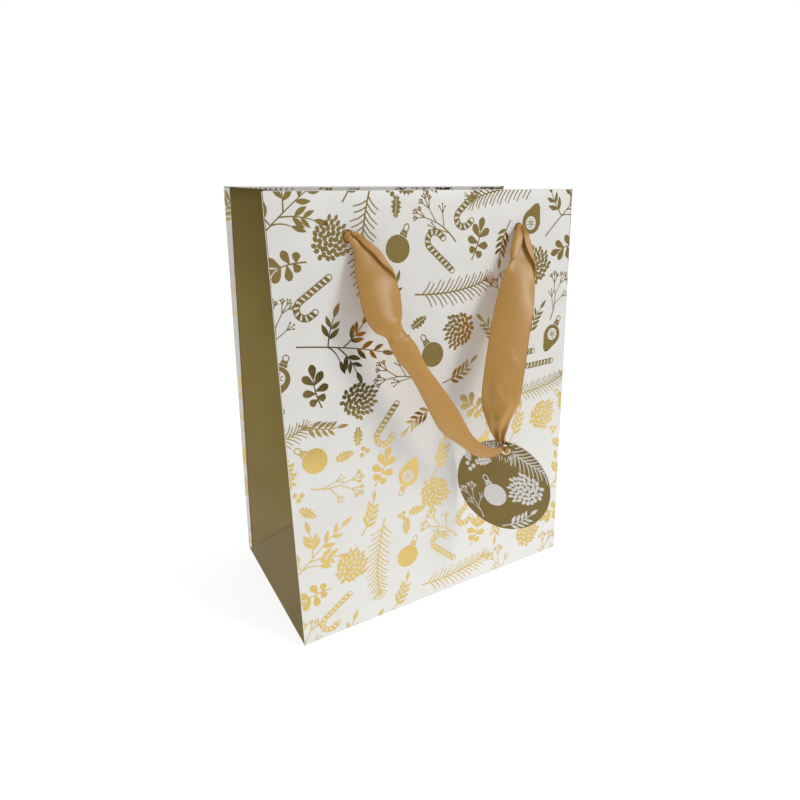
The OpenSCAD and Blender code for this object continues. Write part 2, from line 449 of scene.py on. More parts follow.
def gusset_half(end, side, name, nodes, material):
    made = sheet_mesh(name, gusset_rows(end, side, 1 * MM, panel_h, 40))
    use(made)
    bpy.ops.object.mode_set(mode="EDIT")
    bpy.ops.mesh.select_all(action="SELECT")
    bpy.ops.mesh.normals_make_consistent(inside=False)
    bpy.ops.object.mode_set(mode="OBJECT")
    thick(made, PAPER)
    hem_low = (panel_h - HEM) * math.cos(lean)
    mark_print(made, lambda face: face.normal.x * end > 0 or face.center.z > hem_low)
    smooth(made)
    return finish_piece(made, material, None, "gold_paper", *nodes)


def blend_gusset(made):
    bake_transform(made)


def seam_strip(material):
    """The back panel's print, carried a little way round the left corner"""
    made = sheet_mesh("seam_paper", [
        [gusset_point(t, s * MM, -PAPER * 0.6, -1, 1) for s in (0, 0.8, 1.6, 2.4, 3.0)]
        for t in (max(1.2 * MM, panel_h * i / 30 - 0.3 * MM) for i in range(31))
    ])
    thick(made, PAPER, 0)
    smooth(made)
    blend_gusset(made)
    return finish_piece(made, material, None, "printed_paper", "seam_lap")


def seam_foil(material):
    made = foil_print(
        "seam_foil", (0.1 * MM, 1.6 * MM), (2.9 * MM, panel_h - 0.5 * MM), (30 * MM, 40 * MM),
        lambda u, v, lift: gusset_point(v, u, -PAPER * 1.1 - FOIL_LIFT * 2 - lift, -1, 1)
    )
    thick(made, FOIL, 0)
    blend_gusset(made)
    return finish_piece(made, material, None, "gold_paper")


def gusset_foot(end, name, node, material):
    apex = gusset_point(half_d, half_d, PAPER / 2, end, -1)
    rows = []
    for i in range(11):
        share = i / 10
        row = []
        for k in range(13):
            y = (k / 6 - 1) * (half_d * (1 - share) + 1.2 * MM)
            x = end * half_w + (apex.x - end * half_w) * share
            row.append(Vector((x - end * 0.15 * MM, y * 0.99, max(apex.z * share, 0.3 * MM))))
        rows.append(row)
    made = sheet_mesh(name, rows)
    thick(made, PAPER)
    mark_print(made, lambda face: face.normal.x * end > 0)
    smooth(made)
    return finish_piece(made, material, "base", "gold_paper", node)


# ---- Foil motifs: flat shapes in metres about their own middle, pointing along +X ----

class Motif:
    """A flat drawing made of tapered strokes, discs and rings"""

    def __init__(self):
        self.faces = []
        self.drawn = 0

    def add(self, points):
        self.faces.append((self.drawn % 6 * LAYER, points))

    def stroke(self, line, widths):
        """A band along the points of line; widths are its full widths there"""
        self.drawn += 1
        sides = []
        for i, p in enumerate(line):
            way = (line[min(i + 1, len(line) - 1)] - line[max(i - 1, 0)]).normalized()
            off = Vector((-way.y, way.x)) * widths[i] / 2
            sides.append((p + off, p - off))
        for (a, b), (c, d) in zip(sides, sides[1:]):
            self.add([b, d, c, a])
        return self

    def disc(self, centre, radius, steps=14):
        self.drawn += 1
        self.add([
            centre + radius * Vector((math.cos(a), math.sin(a)))
            for a in (math.tau * i / steps for i in range(steps))
        ])
        return self

    def ring(self, inner, outer):
        """A band between two closed outlines of the same number of points"""
        self.drawn += 1
        count = len(inner)
        for i in range(count):
            k = (i + 1) % count
            self.add([inner[i], outer[i], outer[k], inner[k]])
        return self


def v2(x, y):
    return Vector((x, y)) * MM


def heading(angle):
    return Vector((math.cos(angle), math.sin(angle)))


def curve(start, mid, finish, steps):
    """Points on a parabola from start to finish that leans towards mid"""
    return [
        start * (1 - t) ** 2 + mid * 2 * t * (1 - t) + finish * t * t
        for t in (i / steps for i in range(steps + 1))
    ]


POINTED = (0.06, 0.55, 0.92, 1.0, 0.86, 0.5, 0.04)
ROUNDED = (0.08, 0.34, 0.62, 0.88, 1.0, 0.86, 0.3)


def leaf(motif, root, angle, length, width, shape=POINTED, bend=0.06):
    way = heading(angle)
    side = Vector((-way.y, way.x))
    line = curve(root, root + way * length / 2 + side * bend * length, root + way * length, 6)
    motif.stroke(line, [width * w for w in shape])


def stem(motif, points, width=0.55 * MM, tip=0.3 * MM):
    n = len(points) - 1
    motif.stroke(points, [width + (tip - width) * i / n for i in range(n + 1)])


def pine_cone():
    """Scales on a spiral round a point near the tip, cut to an oval; the tip is along +X"""
    motif = Motif()
    golden = math.pi * (3 - math.sqrt(5))
    for i in range(170):
        reach, a = 1.42 * math.sqrt(i), golden * i
        x, y = 5.8 + reach * math.cos(a), reach * math.sin(a)
        edge = (x / 10.2) ** 2 + (y / 9.4) ** 2
        if edge > 1:
            continue
        length = 2.4 + 0.6 * min(1, reach / 9)
        width = 2.3 - 0.8 * min(1, reach / 17) ** 2
        way = heading(a)
        root = v2(x, y) - way * length * 0.5 * MM
        line = [root + way * length * MM * k / 4 for k in range(5)]
        motif.stroke(line, [width * w * MM for w in (0.4, 0.86, 1.0, 0.84, 0.34)])
    return motif


def candy_cane():
    """The shaft runs along +X, and the crook curls round below its left end"""
    motif = Motif()
    shaft, bow, tail, half = 18 * MM, 4.3 * MM, 3.0 * MM, 1.45 * MM
    turn = math.pi * bow
    total = shaft + turn + tail
    left = 9.5 * MM - shaft

    def place(far, off):
        if far < shaft:
            return Vector((9.5 * MM - far, off))
        if far > shaft + turn:
            return Vector((left + far - shaft - turn, -2 * bow - off))
        a = (far - shaft) / bow
        return Vector((left, -bow)) + (bow + off) * Vector((-math.sin(a), math.cos(a)))

    stripes = 13
    pitch = total / stripes
    slant = 0.9 * MM
    for i in range(stripes):
        near, far = pitch * i, pitch * (i + 0.66)
        edges = ((near + slant, half), (far + slant, half), (far, -half), (near, -half))
        motif.add([place(min(f, total), o) for f, o in edges])
    for centre, way in ((place(0, 0), 0), (place(total, 0), 0)):
        cap = [centre + half * heading(way - math.pi / 2 + math.pi * i / 8) for i in range(9)]
        stem(motif, cap, 0.45 * MM, 0.45 * MM)
    for off in (-half, half):
        stem(motif, [place(total * i / 26, off) for i in range(27)], 0.45 * MM, 0.45 * MM)
    return motif


def round_bauble():
    motif = Motif().disc(v2(0, 0), 6.7 * MM, 32)
    motif.add([v2(6.7, -2.2), v2(8.0, -2.0), v2(8.0, 2.0), v2(6.7, 2.2), v2(7.1, 0)])
    motif.add([v2(8.2, -1.8), v2(9.6, -1.5), v2(9.6, 1.5), v2(8.2, 1.8)])
    ring = [v2(11, 0) + Vector((1.9 * math.cos(a), 1.4 * math.sin(a))) * MM
            for a in (math.tau * i / 14 for i in range(15))]
    stem(motif, ring, 0.55 * MM, 0.55 * MM)
    return motif


def drop_bauble():
    """A drop with its point along +X, round a bare disc with a star"""
    motif = Motif()
    steps = 32
    outer, inner = [], []
    for i in range(steps):
        a = math.tau * i / steps
        near = max(0.0, math.cos(a))
        outer.append(6.3 * MM * (1 + 0.1 * near ** 2 + 0.62 * near ** 12) * heading(a))
        inner.append(v2(-0.6, 0) + 3.6 * MM * heading(a))
    motif.ring(inner, outer)
    for i in range(8):
        way = heading(math.tau * i / 8)
        stem(motif, [v2(-0.6, 0) + way * 0.4 * MM, v2(-0.6, 0) + way * 2.9 * MM], 0.4 * MM, 0.4 * MM)
    motif.add([v2(-6.6, 2.2), v2(-7.9, 1.9), v2(-7.9, -1.9), v2(-6.6, -2.2)])
    motif.add([v2(-8.1, 1.8), v2(-9.4, 1.5), v2(-9.4, -1.5), v2(-8.1, -1.8)])
    ring = [v2(-10.7, 0) + 1.5 * MM * heading(math.tau * i / 12) for i in range(13)]
    stem(motif, ring, 0.5 * MM, 0.5 * MM)
    return motif


def holly_leaf(motif, root, angle, length):
    """Two spiny halves with a bare midrib between them"""
    way = heading(angle)
    side = Vector((-way.y, way.x))
    spines = (0.0, 0.62, 0.3, 0.95, 0.5, 1.0, 0.5, 0.8, 0.34, 0.4, 0.0)
    for hand in (-1, 1):
        ribs = []
        for i, out in enumerate(spines):
            along = root + way * length * i / (len(spines) - 1)
            ribs.append((
                along + side * hand * 0.16 * MM,
                along + side * hand * (0.17 * MM + out * 0.27 * length)
            ))
        for (a, b), (c, d) in zip(ribs, ribs[1:]):
            motif.add([a, c, d, b] if hand > 0 else [b, d, c, a])


def holly():
    motif = Motif()
    holly_leaf(motif, v2(-1, 1.5), math.radians(75), 10.5 * MM)
    holly_leaf(motif, v2(-2.5, -0.6), math.radians(175), 10.5 * MM)
    for x, y in ((1.2, 0.6), (0.4, -2.2), (3.2, -1.6)):
        motif.disc(v2(x, y), 1.25 * MM, 12)
    return motif


def holly_single():
    motif = Motif()
    holly_leaf(motif, v2(-5.2, 0), 0, 10.4 * MM)
    return motif


def berries():
    motif = Motif()
    for x, y in ((-1.8, 1.3), (1.8, 0.5), (0, -1.8)):
        motif.disc(v2(x, y), 1.3 * MM, 12)
    return motif


def twig(motif, start, mid, finish, pairs, length, width, shape=POINTED, spread=38, clear=0.3):
    """A curved stem with pairs of leaves up its upper part and one leaf at its end"""
    steps = 12
    line = curve(start, mid, finish, steps)
    stem(motif, line, 0.7 * MM, 0.45 * MM)
    for i in range(pairs):
        at = round(steps * (clear + (0.94 - clear) * i / pairs))
        way = line[at + 1] - line[at]
        along = math.atan2(way.y, way.x)
        fade = 1 - 0.16 * i / max(1, pairs - 1)
        for hand in (-1, 1):
            root = line[at] + way * (0.5 if hand > 0 else -0.2)
            leaf(motif, root, along + hand * math.radians(spread), length * fade, width * fade, shape,
                 hand * 0.07)
    way = line[-1] - line[-2]
    leaf(motif, line[-1], math.atan2(way.y, way.x), length, width, shape, 0.03)


def one_berry():
    return Motif().disc(v2(0, 0), 1.5 * MM, 14)


def round_sprig():
    """A fan of seven round petals on a bare stem"""
    motif = Motif()
    line = curve(v2(-11.5, -2.5), v2(-3, -2), v2(3, 0.8), 10)
    stem(motif, line, 0.75 * MM, 0.5 * MM)
    for at, angle, length in (
        (10, 22, 7.6), (8, 62, 7.8), (8, -24, 7.4), (6, 100, 7.0), (5, -58, 6.8), (4, 132, 4.6),
        (3, -92, 4.8)
    ):
        leaf(motif, line[at], math.radians(angle), length * MM, 4.0 * MM, ROUNDED, 0.04)
    return motif


def leaf_sprig():
    motif = Motif()
    twig(motif, v2(-13, -2.5), v2(-1, -3), v2(7, 1), 4, 6.4 * MM, 2.0 * MM, POINTED, 42, 0.22)
    return motif


def pointed_branch():
    motif = Motif()
    size = 7.4 * MM, 2.6 * MM
    twig(motif, v2(-27, 2), v2(0, 1), v2(18, -3), 2, *size, clear=0.68)
    twig(motif, v2(-11, 1.5), v2(-10.5, 9), v2(-8, 15), 2, *size, clear=0.25)
    twig(motif, v2(-3, 0.5), v2(3, 5), v2(7, 11), 2, *size, clear=0.3)
    twig(motif, v2(-6, 0.5), v2(0, -4), v2(4, -12), 2, *size, clear=0.45)
    twig(motif, v2(-11, 1), v2(-7, -1), v2(-5, -6), 0, *size)
    return motif


def fir_twig():
    motif = Motif()
    steps = 16
    line = curve(v2(-25, 1.0), v2(0, -3.4), v2(19, 1.5), steps)
    stem(motif, line, 0.8 * MM, 0.55 * MM)
    for i in range(2, steps + 1):
        way = line[i] - line[i - 1]
        along = math.atan2(way.y, way.x)
        grow = 6.2 + 2.6 * math.sin(math.pi * i / steps) + 0.8 * (-1) ** i
        for hand in (-1, 1):
            angle = along + hand * math.radians(50 - 0.8 * i)
            root = line[i] - way * (0.55 if hand > 0 else 0)
            bend = root + heading(angle) * grow * 0.5 * MM
            tip = root + heading(angle + hand * 0.12) * grow * MM
            stem(motif, [root, bend, tip], 0.7 * MM, 0.5 * MM)
    for angle in (-34, -17, 0, 17, 34):
        a = math.radians(angle + 14)
        stem(motif, [line[-1], line[-1] + heading(a) * 6.8 * MM], 0.62 * MM, 0.4 * MM)
    return motif


def berry_twig():
    """A thin forking stem, each fork ending in a few tiny tips"""
    motif = Motif()
    trunk = curve(v2(-15, -3.5), v2(-6, -3.5), v2(1, 0), 8)
    stem(motif, trunk, 0.8 * MM, 0.55 * MM)

    def fork(root, angle, length, forks):
        tip = root + heading(angle) * length
        stem(motif, [root, tip], 0.5 * MM, 0.42 * MM)
        if forks == 0:
            motif.disc(tip, 0.52 * MM, 8)
            return
        for turn, share in ((-0.55, 0.5), (-0.1, 0.62), (0.42, 0.55)):
            fork(tip, angle + turn, length * share, forks - 1)

    for at, angle, length in ((3, 0.62, 8.5), (5, -0.55, 7.5), (8, 0.55, 7.5), (8, -0.12, 8)):
        fork(trunk[at], angle, length * MM, 1 if at < 6 else 2)
    return motif


DRAWINGS = {
    "cone": pine_cone, "cane": candy_cane, "bauble": round_bauble, "drop": drop_bauble,
    "holly": holly, "round": round_sprig, "sprig": leaf_sprig, "branch": pointed_branch,
    "fir": fir_twig, "berry": berry_twig, "leafy": holly_single, "dots": berries,
    "berry1": one_berry,
}

# One repeat of the print: drawing, place across and up in millimetres, angle, mirrored or not
LAYOUT = [
    ("cone", -60, 209, 225, 1), ("cone", 11, 159, 30, 1), ("cone", -50, 131, 172, 1),
    ("cone", 65, 190, 262, 1), ("cone", 74, 99, 190, 1), ("cone", -6, 68, 120, 1),
    ("cane", -70, 187, 33, 1), ("cane", 0, 197, 318, -1), ("cane", 18, 225, 40, 1),
    ("cane", -35, 118, 50, 1), ("cane", 70, 132, 2, -1),
    ("bauble", -25, 203, 62, 1), ("bauble", -6, 148, 120, 1), ("bauble", -76, 104, 140, 1),
    ("drop", 60, 213, 64, 1), ("drop", 79, 148, 242, 1), ("drop", -23, 83, 62, 1),
    ("holly", -26, 59, 190, 1), ("leafy", -14, 166, 28, 1), ("berry1", -21, 159, 0, 1),
    ("leafy", -52, 112, 85, 1), ("leafy", -60, 103, 12, 1), ("dots", -49, 103, 90, 1),
    ("leafy", -82, 77, 320, 1), ("dots", -86, 87, 0, 1),
    ("round", -84, 198, 176, 1), ("round", 24, 206, 55, 1), ("round", -73, 142, 116, -1),
    ("round", -38, 92, 48, 1), ("round", 20, 115, 118, 1),
    ("branch", -79, 223, 46, 1), ("branch", -54, 158, 356, 1),
    ("sprig", -70, 121, 336, 1), ("sprig", 12, 137, 14, 1), ("sprig", 41, 202, 240, 1),
    ("sprig", -30, 181, 48, 1), ("sprig", -16, 113, 196, 1), ("sprig", 31, 156, 112, 1),
    ("sprig", 66, 158, 74, -1), ("sprig", -48, 67, 56, 1), ("sprig", -2, 91, 56, 1),
    ("sprig", 53, 99, 58, 1),
    ("fir", -43, 207, 262, 1), ("fir", 9, 181, 4, 1), ("fir", 40, 229, 186, 1),
    ("fir", 73, 118, 8, 1, 0.85),
    ("berry", -2, 214, 128, 1, 0.95), ("berry", 80, 171, 66, 1, 0.9),
    ("berry", -27, 139, 152, 1, 0.9), ("berry", -65, 88, 340, 1, 0.95),
    ("cone", 44, 128, 64, 1), ("leafy", 34, 104, 40, 1), ("bauble", 27, 88, 66, 1),
    ("dots", 43, 112, 20, 1), ("leafy", 58, 143, 70, 1), ("round", 47, 76, 34, 1),
    ("berry", 42, 173, 100, 1, 0.9),
]


def foil_print(name, low, high, shift, place, layout=LAYOUT, period=PATTERN):
    """The part of the print between two corners of the flat sheet, laid on it by place(u, v)"""
    made = fresh(name)
    bm = bmesh.new()
    drawn = {kind: draw() for kind, draw in DRAWINGS.items()}
    turns = range(-2, 3) if period else (0,)
    for kind, x, y, angle, hand, *size in layout:
        scale = size[0] if size else 1
        ca, sa = math.cos(math.radians(angle)) * scale, math.sin(math.radians(angle)) * scale
        for i in turns:
            for k in turns:
                centre = Vector((x, y)) * MM + Vector((i, k)) * (period or 0) + Vector(shift)
                margin = 30 * MM
                if not (low[0] - margin < centre.x < high[0] + margin
                        and low[1] - margin < centre.y < high[1] + margin):
                    continue
                for lift, face in drawn[kind].faces:
                    points = [
                        centre + Vector((ca * p.x - sa * p.y * hand, sa * p.x + ca * p.y * hand))
                        for p in face
                    ]
                    bm.faces.new([bm.verts.new((p.x, p.y, lift)) for p in points[::hand]])
    bm.to_mesh(made.data)
    bm.free()
    use(made)
    bpy.ops.object.mode_set(mode="EDIT")
    for corner, way in ((low, -1), (high, 1)):
        for axis in (0, 1):
            bpy.ops.mesh.select_all(action="SELECT")
            normal = [0, 0, 0]
            normal[axis] = way
            bpy.ops.mesh.bisect(
                plane_co=(corner[0], corner[1], 0), plane_no=normal, clear_outer=True
            )
    bpy.ops.mesh.select_all(action="SELECT")
    bpy.ops.mesh.remove_doubles(threshold=0.004 * MM)
    bpy.ops.mesh.dissolve_degenerate(threshold=0.004 * MM)
    bpy.ops.object.mode_set(mode="OBJECT")
    for vert in made.data.vertices:
        vert.co = place(*vert.co)
    return made


def foil_on_panel(side, name, shift, body, material):
    edge = 0.3 * MM
    made = foil_print(
        name, (-half_w + edge, 1 * MM), (half_w - edge, panel_h - edge), shift,
        lambda u, v, lift: panel_point(u, v, -FOIL_LIFT - lift, side)
    )
    thick(made, FOIL, 1)
    return finish_piece(made, material, body, "gold_paper")


def foil_on_hem(side, name, shift, body, material):
    inner = PAPER + CARD + PAPER
    made = foil_print(
        name, (-half_w * 0.973, panel_h + 0.6 * MM), (half_w * 0.973, panel_h + HEM - 0.4 * MM), shift,
        lambda u, v, lift: panel_point(u, 2 * panel_h - v, inner + FOIL_LIFT + lift, side)
    )
    thick(made, FOIL, 1)
    return finish_piece(made, material, body, "gold_paper")


# ---- Ribbons: cloth bands with their folds ----

def catmull(a, b, c, d, t):
    return (
        b * 2 + (c - a) * t + (a * 2 - b * 5 + c * 4 - d) * t * t + (b * 3 - a - c * 3 + d) * t ** 3
    ) / 2


def through(points, steps):
    """A smooth run of places through all the points, steps to each stretch"""
    last = len(points) - 1
    run = []
    for i in range(last):
        ends = [points[min(max(k, 0), last)] for k in range(i - 1, i + 3)]
        run += [catmull(*ends, k / steps) for k in range(steps)]
    return run + [points[last]]


def crease_height(creases, u, v):
    """Height of the creases at a place on the flat ribbon, in millimetres"""
    total = 0.0
    for (u0, v0), (u1, v1), height, width in creases:
        line = Vector((u1 - u0, v1 - v0))
        at = Vector((u - u0, v - v0))
        share = min(max(at.dot(line) / line.length_squared, 0.0), 1.0)
        away = (at - line * share).length
        total += height * math.exp(-(away / width) ** 2)
    return total


def ribbon_band(name, stations, creases=(), steps=9, columns=4, waves=0.0):
    """stations: (centre, direction across, fold) in millimetres down the ribbon. A fold is the
    shape of its cross-section, from one selvedge to the other, as (across, out) places."""
    centres = through([Vector(c) for c, _, _ in stations], steps)
    hints = through([Vector(h) for _, h, _ in stations], steps)
    folds = [through([Vector(p) for p in fold], columns) for _, _, fold in stations]
    width = len(folds[0])
    columns_down = [through([fold[k] for fold in folds], steps) for k in range(width)]
    rows = []
    down = [0.0]
    for i, centre in enumerate(centres):
        way = (centres[min(i + 1, len(centres) - 1)] - centres[max(i - 1, 0)]).normalized()
        across = (hints[i] - way * hints[i].dot(way)).normalized()
        out = way.cross(across)
        if i:
            down.append(down[-1] + (centre - centres[i - 1]).length)
        row = []
        for k in range(width):
            place = columns_down[k][i]
            u = k / (width - 1) * RIBBON_W / MM
            rise = crease_height(creases, u, down[i]) + waves * math.sin(down[i] * 0.33 + u * 0.21)
            row.append((centre + across * place.x + out * (place.y + rise)) * MM)
        rows.append(row)
    made = sheet_mesh(
        name, rows, lambda i, k: (k / (width - 1) * RIBBON_W, down[i] * MM)
    )
    thick(made, 0.28 * MM)
    smooth(made, 60)
    return made, down[-1] * MM


def bezier(route, t):
    a, b, c, d = (Vector(point) for point in route)
    return (
        a * (1 - t) ** 3 + b * 3 * t * (1 - t) ** 2 + c * 3 * t * t * (1 - t) + d * t ** 3
    )


def turns_with_tag(made):
    """Bakes the strand's placement into its mesh"""
    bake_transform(made)


def cloth(made, length, material, *replaced, body=None):
    return finish_piece(made, material, body, "satin_ribbon", *replaced)


OPEN = ((-10.4, -0.9), (-7.2, 0.1), (-3.6, 0.8), (0, 1.0), (3.6, 0.8), (7.2, 0.1), (10.4, -0.9))


def spread(width, crown=1.0, tilt=0.0):
    """An open cross-section of the given width"""
    return [(x * width / 20.8, n * crown + tilt * x) for x, n in OPEN]


def left_strand(material):
    made, length = ribbon_band("front_left_strand", [
        ((-50.8, -32.8, 209.8), (1, 0, 0.1),
         ((-2.2, 0.2), (-1.9, 1.3), (-0.8, 1.6), (-0.2, -0.3), (0.7, 1.5), (1.9, 1.6), (1.6, 0.1))),
        ((-47.2, -35.6, 205.1), (1, 0, 0.25),
         ((-3.6, -0.6), (-2.6, 0.3), (-0.2, 0.5), (2.2, 0.3), (4.2, 0.7), (3.8, 1.9), (1.0, 1.6))),
        ((-45.1, -38.1, 200.2), (1, 0, 0.2),
         ((-6.2, -0.9), (-4.4, 0.1), (-1.2, 0.5), (2.6, 0.3), (6.5, 0.6), (6.6, 2.0), (3.2, 1.8))),
        ((-43.7, -40.8, 195.2), (1, 0, 0.15),
         ((-8.4, -1.2), (-5.8, -0.1), (-2.2, 0.5), (2.2, 0.6), (6.8, 0.5), (8.1, 1.8), (5.2, 2.0))),
        ((-42.6, -43.5, 190.3), (1, 0, 0.1),
         ((-9.6, -1.2), (-6.8, 0.0), (-3.0, 0.9), (1.4, 1.1), (5.8, 0.9), (9.3, 1.5), (8.2, 2.5))),
        ((-42.1, -46.1, 185.4), (1, 0, 0.05), spread(20.8, 1.1)),
        ((-42.3, -48.7, 180.5), (1, 0, 0.05), spread(20.7, 1.3)),
        ((-42.1, -51.2, 175.6), (1, 0, 0.05), spread(19.4, 1.6)),
        ((-41.0, -53.2, 170.6), (1, 0, 0.1),
         ((-6.6, -2.6), (-6.2, -0.4), (-3.2, 1.4), (0.6, 2.0), (4.0, 1.7), (6.6, 0.6), (7.9, -1.2))),
        ((-38.2, -54.9, 165.8), (1, 0, 0.2),
         ((0.4, -2.8), (-2.8, -2.4), (-5.0, -0.8), (-3.4, 0.6), (0.0, 0.8), (3.0, 0.6), (4.9, -0.6))),
        ((-34.0, -57.3, 158.5), (1, 0, 0.4),
         ((1.2, -2.4), (-2.8, -2.1), (-5.9, -0.8), (-3.8, 0.9), (0.0, 1.4), (3.8, 0.9), (5.9, -0.6))),
        ((-27.6, -59.2, 147.7), (1, -0.1, 0.5),
         ((2.6, -2.2), (-1.2, -2.2), (-4.7, -1.0), (-3.0, 1.0), (-0.4, 1.8), (2.8, 1.0), (4.6, -0.8))),
        ((-20.2, -61.3, 135.2), (1, -0.1, 0.45),
         ((0.6, -2.2), (-3.0, -1.9), (-5.7, -0.8), (-3.2, 0.9), (0.4, 1.5), (3.7, 0.9), (5.7, -0.6))),
        ((-12.9, -63.5, 122.2), (1, -0.2, 0.45),
         ((-0.8, -2.0), (-4.4, -1.7), (-6.6, -0.4), (-3.6, 1.1), (0.6, 1.5), (4.4, 0.9), (6.5, -0.6))),
        ((-8.0, -64.6, 115.2), (1, -0.25, 0.6),
         ((0.2, -2.0), (-3.4, -1.7), (-5.8, -0.6), (-3.4, 0.9), (0.2, 1.4), (3.6, 0.9), (5.6, -0.5))),
        ((-1.6, -66.0, 107.6), (1, -0.3, 0.7),
         ((2.0, -1.8), (-1.0, -1.8), (-3.9, -0.9), (-2.6, 0.6), (0.0, 1.2), (2.6, 0.8), (4.0, -0.4))),
        ((5.0, -67.2, 101.6), (0.7, -0.3, 1),
         ((1.8, -1.7), (-0.8, -1.8), (-3.6, -1.0), (-2.8, 0.5), (-0.2, 1.2), (2.4, 0.9), (3.8, -0.3))),
        ((12.4, -68.2, 98.6), (0.3, -0.3, 1),
         ((2.0, -1.2), (-0.4, -1.6), (-3.2, -1.0), (-2.8, 0.5), (-0.4, 1.2), (2.0, 1.0), (3.2, 0.0))),
        ((19.0, -69.0, 99.2), (0.0, -0.4, 1),
         ((1.6, -0.9), (0.2, -1.0), (-1.8, -0.7), (-2.2, 0.2), (-0.7, 0.9), (1.3, 0.8), (2.2, 0.0))),
    ], creases=(((3, 51), (20, 57), 0.7, 1.6), ((8, 66), (18, 92), 0.6, 1.4)), steps=6)
    turns_with_tag(made)
    return cloth(made, length, material, "front_ribbon")


def right_strand(material):
    made, length = ribbon_band("front_right_strand", [
        ((51.2, -32.6, 209.6), (1, 0, 0),
         ((-2.0, 0.1), (-2.0, 1.5), (-0.8, 1.9), (0.0, 0.2), (0.9, 1.8), (2.2, 1.5), (2.1, 0.0))),
        ((49.7, -35.4, 206.1), (1, -0.05, 0),
         ((0.2, 1.6), (-3.0, 1.9), (-4.2, 0.6), (0.0, -0.3), (4.0, 0.6), (3.2, 2.0), (0.8, 1.5))),
        ((48.3, -38.0, 200.8), (1, -0.1, 0),
         ((-0.8, 1.8), (-4.8, 1.9), (-6.2, 0.6), (0.0, -0.2), (6.0, 0.6), (5.2, 2.1), (1.6, 1.9))),
        ((46.8, -40.8, 195.2), (1, -0.1, 0),
         ((-3.6, 2.0), (-6.4, 1.8), (-7.1, 0.5), (-1.0, 0.0), (5.8, 0.5), (7.0, 1.8), (4.2, 2.3))),
        ((45.5, -43.0, 190.7), (1, -0.15, 0),
         ((-7.4, 1.7), (-7.9, 0.8), (-5.4, 0.3), (-1.2, 0.6), (3.8, 0.7), (7.6, 1.0), (7.0, 2.5))),
        ((42.4, -46.0, 184.1), (1, -0.25, 0), spread(18.4, 0.9)),
        ((36.6, -50.8, 173.2), (1, -0.4, 0), spread(20.6, 0.8)),
        ((31.6, -54.6, 162.2), (1, -0.4, 0), spread(21.4, 0.6)),
        ((27.8, -57.7, 151.1), (1, -0.4, 0), spread(21.8, 0.6)),
        ((24.1, -60.9, 139.9), (1, -0.4, 0), spread(21.9, 0.7)),
        ((22.0, -62.7, 130.6), (1, -0.4, 0), spread(21.8, 1.0)),
        ((21.4, -63.6, 124.4), (1, -0.4, 0),
         ((-10.4, -1.6), (-7.2, -0.2), (-3.4, 0.8), (0.4, 1.1), (4.4, 0.9), (8.0, 0.2), (10.4, -1.2))),
        ((20.6, -64.3, 119.0), (1, -0.4, 0),
         ((-9.0, -2.2), (-6.6, -0.2), (-3.2, 1.0), (0.4, 1.6), (4.0, 1.2), (7.0, 0.2), (8.8, -1.8))),
        ((19.7, -65.1, 113.6), (1, -0.4, 0),
         ((-6.4, -2.2), (-5.4, 0.4), (-2.8, 0.8), (0.2, 1.9), (3.0, 0.6), (5.4, 0.6), (5.6, -2.0))),
        ((19.6, -65.6, 108.6), (1, -0.5, 0),
         ((-4.4, -1.6), (-3.8, 0.7), (-1.8, -0.6), (0.0, 1.6), (1.8, -0.4), (3.6, 1.2), (3.4, -1.4))),
        ((20.4, -65.8, 104.6), (0.7, -0.7, 0),
         ((-3.0, -0.9), (-2.4, 0.9), (-1.2, -0.8), (0.0, 1.2), (1.2, -0.7), (2.4, 0.9), (2.6, -0.8))),
        ((23.0, -65.8, 100.8), (0.5, -0.9, 0),
         ((-2.2, -0.6), (-1.6, 0.6), (-0.8, -0.5), (0.0, 0.7), (0.7, -0.5), (1.5, 0.6), (2.0, -0.4))),
    ], creases=(
        ((2, 67), (13, 71), 0.5, 1.2), ((13.5, 74), (17, 76), 0.5, 1.0), ((6, 84), (10.5, 84), 0.6, 1.3),
        ((7, 89), (12, 98), 0.7, 1.4), ((14, 97), (10, 106), 0.9, 1.8), ((3, 90), (6, 104), -0.5, 1.8),
    ), steps=6)
    return cloth(made, length, material, body="front_handle")


def bight(material):
    """The gathered stretch that goes down in front of the tag, through its hole and up behind"""
    pin = tag_hole / MM
    out = tag_face
    side = tag_across
    stations = []
    for a, wide in ((150, 4.4), (120, 4.6), (80, 5.0), (40, 4.8), (0, 4.7), (-40, 4.6), (-75, 4.4)):
        swing = math.radians(a)
        stations.append((
            pin + out * 2.2 * math.sin(swing) + Vector((0, 0, 1)) * (0.2 + 1.6 * math.cos(swing)),
            side, [(x * wide / 20.8, 0.5 * math.sin(x * 1.4)) for x, _ in OPEN]
        ))
    made, length = ribbon_band("tag_bight", stations, steps=6)
    return finish_piece(made, material, "tag_loop", "satin_ribbon", "ribbon_bight")


def back_strand(material):
    top = joints["back_handle_swing"]["pos_m"]
    y, z = top[1] / MM, top[2] / MM
    ends = (Vector((-51, y + 2.4, z - 3)), Vector((-48, 63, 60)), Vector((48, 63, 60)),
            Vector((51, y + 2.4, z - 3)))
    stations = []
    count = 18
    for i in range(count + 1):
        t = i / count
        place = bezier(ends, t)
        mid = math.sin(math.pi * t)
        hint = Vector((math.cos(math.pi * t), mid * mid, 0))
        open_up = math.sin(min(1, mid * 1.3) * math.pi / 2)
        pleat = 1.2 * (1 - open_up)
        fold = [
            (x * (4.6 + 15.6 * open_up) / 20.8, -n * open_up + pleat * (-1) ** k)
            for k, (x, n) in enumerate(OPEN)
        ]
        stations.append((place, hint, fold))
    made, length = ribbon_band("back_handle_ribbon", stations, steps=5, waves=0.12)
    return cloth(made, length, material, "back_ribbon", body="back_handle")


